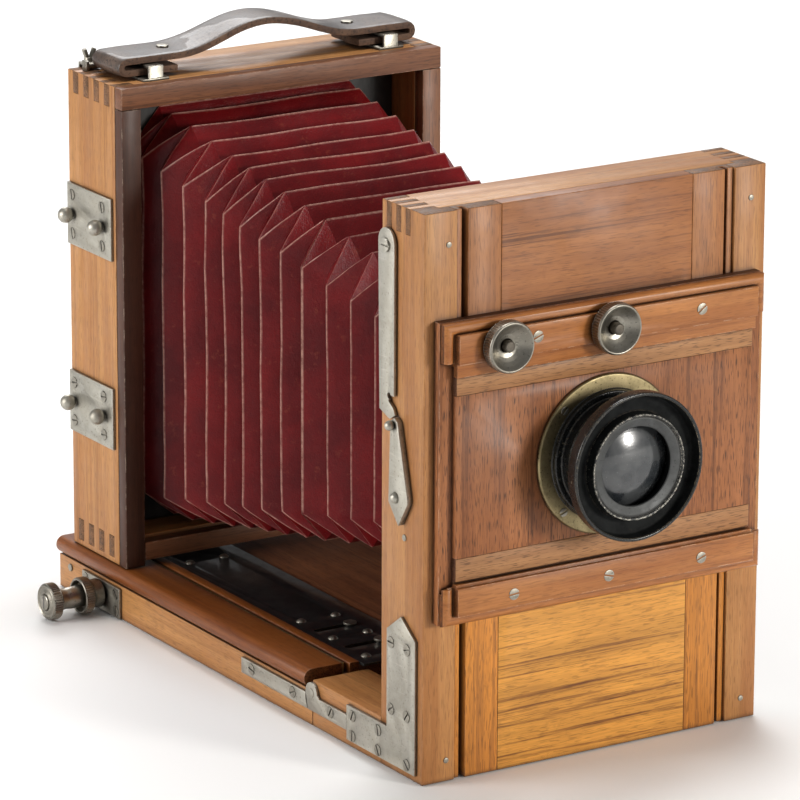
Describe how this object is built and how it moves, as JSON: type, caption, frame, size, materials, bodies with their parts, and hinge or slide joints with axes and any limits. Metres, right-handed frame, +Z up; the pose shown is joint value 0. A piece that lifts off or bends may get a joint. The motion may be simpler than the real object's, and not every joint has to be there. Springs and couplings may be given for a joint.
{
  "type": "large format view camera",
  "caption": "Wooden field camera with tapered red bellows, brass lens on a rising front, rack focusing bed, side hooks, leather handle and a folding ground-glass back.",
  "frame": {"origin": "mouth of the tripod bush in the underside of the bed's front section", "axes": "+Z up, +Y from the lens towards the ground-glass back, +X to the right seen from the front"},
  "size_m": [0.2229, 0.3725, 0.2876],
  "materials": {
    "light_wood": "worn varnish",
    "golden_wood": "worn varnish",
    "dark_wood": "worn varnish",
    "red_wood": "worn varnish",
    "nickel": "worn nickel plate",
    "brass": "aged, lacquer worn",
    "black_metal": "worn blacking",
    "black_paint": "matt black",
    "bellows_leather": "folded, worn at the ridges",
    "strap_leather": "worn",
    "clear_glass": "polished",
    "ground_glass": "ground on one side"
  },
  "bodies": {
    "root": {"front_sides": "light_wood", "front_top_board": "light_wood", "front_panel": "golden_wood", "front_panel_strips": "dark_wood", "front_bed_floor": "light_wood", "front_bed_sides": "light_wood", "corner_plates": "nickel", "tripod_bush": "brass", "bellows_front_frame": "dark_wood", "bed_sides": "light_wood", "bed_floor": "light_wood", "hinge_leaves": "nickel", "bearing_plates": "nickel", "bed_screws": "nickel", "front_nails": "nickel", "bellows_front": "bellows_leather"},
    "pinion": {"pinion_shaft": "nickel", "pinion_gears": "brass", "focus_knob": "nickel"},
    "locking_nut": {"lock_nut": "nickel"},
    "sled": {"sled_rails": "red_wood", "sled_floor": "dark_wood", "sled_strips": "red_wood", "groove_strips": "brass", "racks": "brass", "lock_plate": "black_metal", "lock_plate_screws": "nickel", "bellows_rear": "bellows_leather"},
    "locking_bar": {"lock_bar": "nickel"},
    "rear": {"rear_sides": "light_wood", "rear_top_board": "light_wood", "rear_sole": "light_wood", "rear_fascia": "dark_wood", "bellows_rear_frame": "black_paint", "stud_plates": "nickel", "stud_plate_screws": "nickel", "handle_strap": "strap_leather", "strap_hardware": "nickel", "back_fittings": "nickel"},
    "catch": {"back_catch": "nickel"},
    "glass_back": {"glass_frame": "light_wood", "ground_glass": "ground_glass", "glass_clips": "brass"},
    "rise": {"rise_panel": "dark_wood", "upper_rail": "red_wood", "lower_rail": "golden_wood", "rail_screws": "nickel"},
    "lens": {"lens_board": "dark_wood", "lens_board_strips": "dark_wood", "lens_flange": "brass", "flange_screws": "brass", "lens_barrel": "black_metal", "lens_hood": "black_metal", "lens_elements": "clear_glass"},
    "rise_clamp": {"rise_knob": "nickel"},
    "shift_clamp": {"shift_knob": "nickel"},
    "left_hook": {"hook_arm_left": "nickel"},
    "right_hook": {"hook_arm_right": "nickel"},
    "left_lever": {"stay_lever_left": "nickel"},
    "right_lever": {"stay_lever_right": "nickel"}
  },
  "joints": [
    {"name": "focus", "type": "slide", "parent": "root", "child": "sled", "axis": [0, 1, 0], "range_m": [0, 0.1], "deforming": ["bellows_front"]},
    {"name": "pinion_turn", "type": "hinge", "parent": "root", "child": "pinion", "pos_m": [0, 0.228, 0.0092], "axis": [-1, 0, 0], "range_deg": [-5, 900]},
    {"name": "lock_nut_turn", "type": "hinge", "parent": "root", "child": "locking_nut", "pos_m": [-0.1, 0.228, 0.0092], "axis": [-1, 0, 0], "range_deg": [0, 90]},
    {"name": "rear_slide", "type": "slide", "parent": "sled", "child": "rear", "axis": [0, -1, 0], "range_m": [0, 0.1], "deforming": ["bellows_rear"]},
    {"name": "lock_bar_slide", "type": "slide", "parent": "sled", "child": "locking_bar", "axis": [1, 0, 0], "range_m": [-0.016, 0]},
    {"name": "glass_back_fold", "type": "hinge", "parent": "rear", "child": "glass_back", "pos_m": [0, 0.2619, 0.0376], "axis": [-1, 0, 0], "range_deg": [0, 90]},
    {"name": "back_catch_lift", "type": "hinge", "parent": "rear", "child": "catch", "pos_m": [-0.0795, 0.2505, 0.2674], "axis": [1, 0, 0], "range_deg": [0, 25]},
    {"name": "rise_slide", "type": "slide", "parent": "root", "child": "rise", "axis": [0, 0, 1], "range_m": [-0.015, 0.02]},
    {"name": "lens_shift", "type": "slide", "parent": "rise", "child": "lens", "axis": [1, 0, 0], "range_m": [-0.011, 0.011]},
    {"name": "rise_knob_turn", "type": "hinge", "parent": "rise", "child": "rise_clamp", "pos_m": [-0.057, -0.08, 0.2035], "axis": [0, -1, 0], "range_deg": [0, 270]},
    {"name": "shift_knob_turn", "type": "hinge", "parent": "rise", "child": "shift_clamp", "pos_m": [0, -0.08, 0.2035], "axis": [0, -1, 0], "range_deg": [0, 270]},
    {"name": "left_hook_swing", "type": "hinge", "parent": "root", "child": "left_hook", "pos_m": [-0.0922, -0.0364, 0.2445], "axis": [1, 0, 0], "range_deg": [0, 90]},
    {"name": "right_hook_swing", "type": "hinge", "parent": "root", "child": "right_hook", "pos_m": [0.0922, -0.0364, 0.2445], "axis": [1, 0, 0], "range_deg": [0, 90]},
    {"name": "left_lever_turn", "type": "hinge", "parent": "root", "child": "left_lever", "pos_m": [-0.0922, -0.0465, 0.131], "axis": [1, 0, 0], "range_deg": [0, 90]},
    {"name": "right_lever_turn", "type": "hinge", "parent": "root", "child": "right_lever", "pos_m": [0.0922, -0.0465, 0.131], "axis": [1, 0, 0], "range_deg": [0, 90]}
  ],
  "couplings": [
    {"joint": "pinion_turn", "follows": "focus", "rad_per_m": 156.25}
  ]
}
